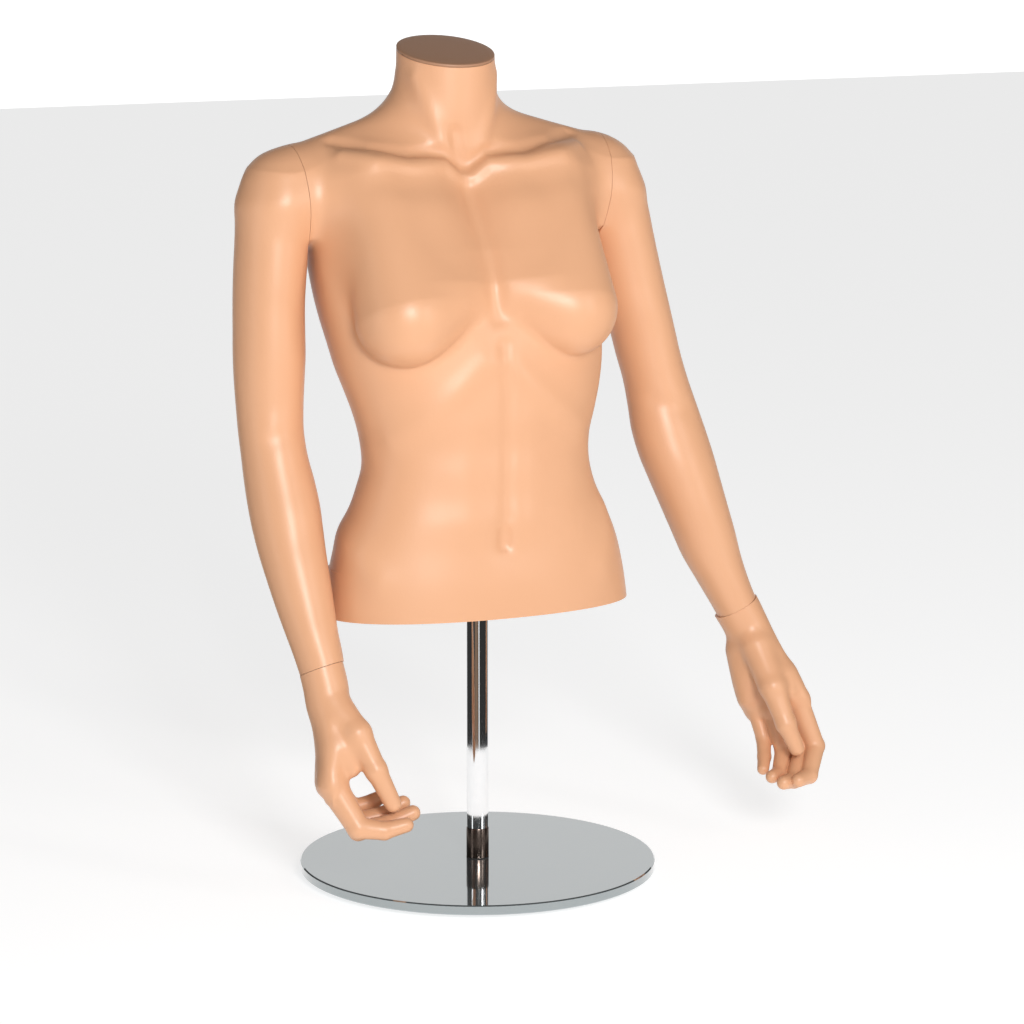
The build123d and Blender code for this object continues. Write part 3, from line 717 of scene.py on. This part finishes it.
def edge_wear_group():
    """Mask of outer edges, broken up by noise."""
    tree, given, result = group("edge wear", [("Reach", "Float", 0.52), ("Break-up", "Float", 180.0)],
                                [("Mask", "Float")])
    pointed = node(tree, "ShaderNodeNewGeometry").outputs["Pointiness"]
    broken = maths(tree, "MULTIPLY", noise(tree, given.outputs["Break-up"], 4.0), 0.06)
    total = maths(tree, "ADD", pointed, broken)
    upper = maths(tree, "ADD", given.outputs["Reach"], 0.12)
    mask = node(tree, "ShaderNodeMapRange",
                {"Value": total, "From Min": given.outputs["Reach"], "From Max": upper})
    tree.links.new(mask.outputs[0], result.inputs["Mask"])
    return tree


def dust_group():
    """Mask of fine dust that lies on upward faces."""
    tree, given, result = group("settled dust", [("Patch size", "Float", 24.0)], [("Mask", "Float")])
    normal = node(tree, "ShaderNodeNewGeometry").outputs["Normal"]
    up = node(tree, "ShaderNodeSeparateXYZ", {0: normal}).outputs["Z"]
    raised = node(tree, "ShaderNodeMapRange", {"Value": up, "From Min": 0.55, "From Max": 1.0})
    mask = maths(tree, "MULTIPLY", raised.outputs[0], noise(tree, given.outputs["Patch size"], 5.0))
    tree.links.new(mask, result.inputs["Mask"])
    return tree


PAINT_GRAIN, EDGE_WEAR, DUST = paint_grain_group(), edge_wear_group(), dust_group()


def use(tree, kind):
    """Adds a node group to a material."""
    made = tree.nodes.new("ShaderNodeGroup")
    made.node_tree = kind
    return made


def finish(name, colour, roughness, metallic=0.0, **constants):
    """New material; returns it with its tree and its shader."""
    material = bpy.data.materials.new(name)
    material.use_nodes = True
    tree = material.node_tree
    shader = tree.nodes["Principled BSDF"]
    shader.inputs["Base Color"].default_value = (*colour, 1)
    shader.inputs["Roughness"].default_value = roughness
    shader.inputs["Metallic"].default_value = metallic
    for key, value in constants.items():
        shader.inputs[key.replace("_", " ")].default_value = value
    return material, tree, shader


def shade(tree, factor, low, high):
    """Colour between two colours by a factor."""
    mix = node(tree, "ShaderNodeMix", {"Factor": factor, "A": (*low, 1), "B": (*high, 1)}, data_type="RGBA")
    return mix.outputs[2]


def spread(tree, factor, low, high):
    """Value between two values as a noise factor goes from 0.3 to 0.7."""
    return node(tree, "ShaderNodeMapRange", {"Value": factor, "From Min": 0.3, "From Max": 0.7, "To Min": low,
                                             "To Max": high}).outputs[0]


def bumped(tree, shader, height, strength, distance):
    """Gives a shader fine relief."""
    bump = node(tree, "ShaderNodeBump", {"Height": height, "Strength": strength, "Distance": distance})
    tree.links.new(bump.outputs[0], shader.inputs["Normal"])


def satin_paint(name, low, high, roughness):
    """Sprayed paint with a soft sheen, whose tone drifts between two colours."""
    material, tree, shader = finish(name, high, roughness, Specular_IOR_Level=0.5)
    texture = use(tree, PAINT_GRAIN)
    tree.links.new(shade(tree, texture.outputs["Tone"], low, high), shader.inputs["Base Color"])
    tree.links.new(spread(tree, texture.outputs["Gloss"], roughness - 0.04, roughness + 0.05),
                   shader.inputs["Roughness"])
    bumped(tree, shader, texture.outputs["Height"], 0.12, 0.0004)
    return material


def polished_metal(name, colour, roughness, scratch):
    """Metal with faint scratches and brighter edges."""
    material, tree, shader = finish(name, colour, roughness, metallic=1.0)
    texture = use(tree, EDGE_WEAR)
    varied = spread(tree, noise(tree, 60.0, 6.0), roughness, roughness + scratch)
    tree.links.new(varied, shader.inputs["Roughness"])
    bright = tuple(min(1, c * 1.25) for c in colour)
    tree.links.new(shade(tree, texture.outputs["Mask"], colour, bright), shader.inputs["Base Color"])
    return material


SKIN = satin_paint("satin skin paint", (0.70, 0.365, 0.20), (0.73, 0.39, 0.22), 0.38)
# the neck cap's paint is darker than the skin paint: painted shade for the upward-facing top of the neck
SHADED_CAP_PAINT = satin_paint("cap paint darkened as painted shade", (0.39, 0.205, 0.118), (0.41, 0.22, 0.13), 0.42)
CHROME = polished_metal("bright chrome", (0.82, 0.83, 0.84), 0.045, 0.03)
BRONZE = polished_metal("dark bronze plating", (0.13, 0.10, 0.085), 0.22, 0.06)
ZINC = polished_metal("zinc plated steel", (0.60, 0.60, 0.62), 0.30, 0.10)


def mirror_glass():
    """Smoked mirror glass: the top reflects softly, and dust lies on it."""
    clean = (0.36, 0.40, 0.41)
    dusty = (0.62, 0.62, 0.60)
    material, tree, shader = finish("grey mirror glass", clean, 0.07, metallic=0.85,
                                    Coat_Weight=1.0, Coat_Roughness=0.02)
    mask = use(tree, DUST)
    faint = maths(tree, "MULTIPLY", mask.outputs["Mask"], 0.10)
    tree.links.new(shade(tree, faint, clean, dusty), shader.inputs["Base Color"])
    tree.links.new(spread(tree, mask.outputs["Mask"], 0.05, 0.10), shader.inputs["Roughness"])
    return material


def matte(name, colour, roughness, scale, strength):
    """Dull moulded surface with a fine grain."""
    material, tree, shader = finish(name, colour, roughness)
    grain = noise(tree, scale, 6.0)
    dark = tuple(c * 0.75 for c in colour)
    tree.links.new(shade(tree, grain, dark, colour), shader.inputs["Base Color"])
    tree.links.new(spread(tree, grain, roughness - 0.05, roughness + 0.05), shader.inputs["Roughness"])
    bumped(tree, shader, grain, strength, 0.0003)
    return material


def plywood():
    """Bare board with long streaks."""
    material, tree, shader = finish("bare board", (0.60, 0.44, 0.28), 0.65)
    place = node(tree, "ShaderNodeTexCoord").outputs["Object"]
    stretched = node(tree, "ShaderNodeMapping", {"Vector": place, "Scale": (6.0, 60.0, 60.0)})
    streak = noise(tree, 3.0, 8.0, stretched.outputs[0])
    tree.links.new(shade(tree, streak, (0.42, 0.28, 0.16), (0.72, 0.55, 0.37)), shader.inputs["Base Color"])
    bumped(tree, shader, streak, 0.3, 0.0004)
    return material


GLASS = mirror_glass()
RUBBER = matte("black rubber", (0.025, 0.025, 0.025), 0.75, 300.0, 0.4)
PLASTIC = matte("black plastic", (0.035, 0.035, 0.037), 0.45, 900.0, 0.2)
BOARD = plywood()
FINISHES = {"skin_paint": SKIN, "cap_paint": SHADED_CAP_PAINT, "mirror_glass": GLASS, "black_rubber": RUBBER,
            "dark_bronze": BRONZE, "chrome_tube": CHROME, "black_plastic": PLASTIC, "board": BOARD,
            "zinc_steel": ZINC}
node_slots = {part["node"]: part["material_slot"] for part in frame["record"]["subparts"]}
for name, cad in frame["nodes"].items():
    cad.data.materials.clear()
    cad.data.materials.append(FINISHES[node_slots[name]])
for piece in (torso, neck_cap, glass, pole, ferrule, *arms.values(), *hands.values()):
    piece.data.materials.append(FINISHES[piece["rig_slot"]])

# ---------------------------------------------------------------- stage


def stage_material(name, colour, emission, lit):
    """Material of the studio that glows by itself and takes only part of the light that falls on it."""
    material, _, shader = finish(name, tuple(c * lit for c in colour), 0.9)
    shader.inputs["Specular IOR Level"].default_value = 0.0
    shader.inputs["Emission Color"].default_value = (*colour, 1)
    shader.inputs["Emission Strength"].default_value = emission
    return material


world = bpy.data.worlds.new("studio")
bpy.context.scene.world = world
world.use_nodes = True
background = world.node_tree.nodes["Background"]
ray = node(world.node_tree, "ShaderNodeLightPath")
seen = node(world.node_tree, "ShaderNodeMix", {"Factor": ray.outputs["Is Glossy Ray"], "A": 0.20, "B": 0.05})
total = maths(world.node_tree, "ADD", seen.outputs[0], ray.outputs["Is Camera Ray"])
background.inputs["Color"].default_value = (1.0, 1.0, 1.0, 1)
world.node_tree.links.new(total, background.inputs["Strength"])


WHITE = (1.0, 1.0, 1.0)
REFLECTED_SKIN_GLOW = (0.95, 0.62, 0.42)
CAMERA_SIDE = 24.0


def only_reflected(card, colour, strength):
    """Makes a card of the studio glow, seen only in reflections."""
    card.data.materials.append(stage_material(card.name, colour, strength, 0.0))
    card.visible_camera = False
    card.visible_diffuse = False
    card.visible_shadow = False


def flat_card(name, place, aim, wide, high, strength):
    """Upright card of the studio."""
    card = mesh_piece(name, [(-wide / 2, -high / 2, 0), (wide / 2, -high / 2, 0), (wide / 2, high / 2, 0),
                             (-wide / 2, high / 2, 0)], [(0, 1, 2, 3)])
    card.location = place
    card.rotation_euler = (Vector(aim) - Vector(place)).to_track_quat("Z", "Y").to_euler()
    only_reflected(card, WHITE, strength)


def floor_sector(name, start, end, near, far, strength, colour):
    """Flat card just over the floor; its angles go clockwise from the camera's side."""
    steps = max(2, int((end - start) / 6) + 1)
    angles = [math.radians(180 + CAMERA_SIDE - start - (end - start) * k / steps) for k in range(steps + 1)]
    points = [(r * math.sin(a), r * math.cos(a), 0.004) for r in (near, far) for a in angles]
    faces = [(k, k + 1, steps + 2 + k, steps + 1 + k) for k in range(steps)]
    only_reflected(mesh_piece(name, points, faces), colour, strength)


floor = mesh_piece("floor", [(-9, -9, 0), (9, -9, 0), (9, 9, 0), (-9, 9, 0)], [(0, 1, 2, 3)])
floor.data.materials.append(stage_material("pale_floor", WHITE, 0.72, 0.5))


def softbox(name, place, aim, wide, high, power):
    """Rectangular lamp turned to a point."""
    lamp = bpy.data.lights.new(name, "AREA")
    lamp.shape = "RECTANGLE"
    lamp.size, lamp.size_y = wide, high
    lamp.energy = power
    holder = bpy.data.objects.new(name, lamp)
    holder.location = place
    holder.rotation_euler = (Vector(aim) - Vector(place)).to_track_quat("-Z", "Y").to_euler()
    bpy.context.scene.collection.objects.link(holder)


camera_side = math.radians(CAMERA_SIDE)
heading = math.radians(24.503)
pitch = math.radians(-10.53)
away = Vector((math.sin(camera_side), math.cos(camera_side), 0))
right_hand_way = Vector((math.cos(camera_side), -math.sin(camera_side), 0))
up = Vector((0, 0, 1))
middle = (0, 0, 0.5)
softbox("key", -away * 3.1 + right_hand_way * 0.7 + up * 1.5, middle, 0.7, 0.7, 76)
softbox("fill", -away * 1.9 + right_hand_way * 2.4 + up * 1.2, middle, 0.5, 1.6, 17)
softbox("side", -away * 1.8 - right_hand_way * 2.6 + up * 1.1, middle, 0.4, 1.6, 4)
flat_card("back_card", away * 2.6 + up * 1.0, middle, 3.4, 2.0, 0.80)
flat_card("left_strip", -away * 1.2 - right_hand_way * 2.2 + up * 0.9, middle, 0.14, 2.2, 2.2)
flat_card("right_strip", -away * 0.8 + right_hand_way * 2.3 + up * 0.9, middle, 0.14, 2.2, 2.2)
# first and last angle of each sector, its strength and its colour
SECTORS = [
    (-140, -56, 0.03, WHITE),
    (-56, -50, 0.55, WHITE),
    (-50, -24, 0.05, WHITE),
    # the skin-coloured sector is a painted reflection: it glows only in reflections and puts a skin tint into the
    # chrome
    (-24, 6, 0.22, REFLECTED_SKIN_GLOW),
    (6, 14, 0.03, WHITE),
    (14, 21, 1.3, WHITE),
    (21, 140, 0.03, WHITE),
]
for start, end, strength, colour in SECTORS:
    floor_sector(f"reflected_sector_{start + 180}", start, end, 0.52, 6.0, strength, colour)

camera_data = bpy.data.cameras.new("camera")
camera_data.sensor_width = 36.0
camera_data.lens = 142.2
camera_data.clip_end = 60
camera = bpy.data.objects.new("camera", camera_data)
camera.location = -away * 3.98 + Vector((0, 0, 1.111))
looking = Vector((math.sin(heading) * math.cos(pitch), math.cos(heading) * math.cos(pitch), math.sin(pitch)))
camera.rotation_euler = looking.to_track_quat("-Z", "Y").to_euler()
bpy.context.scene.collection.objects.link(camera)
bpy.context.scene.camera = camera
bpy.context.scene.view_settings.view_transform = "Standard"
bpy.context.scene.view_settings.look = "None"
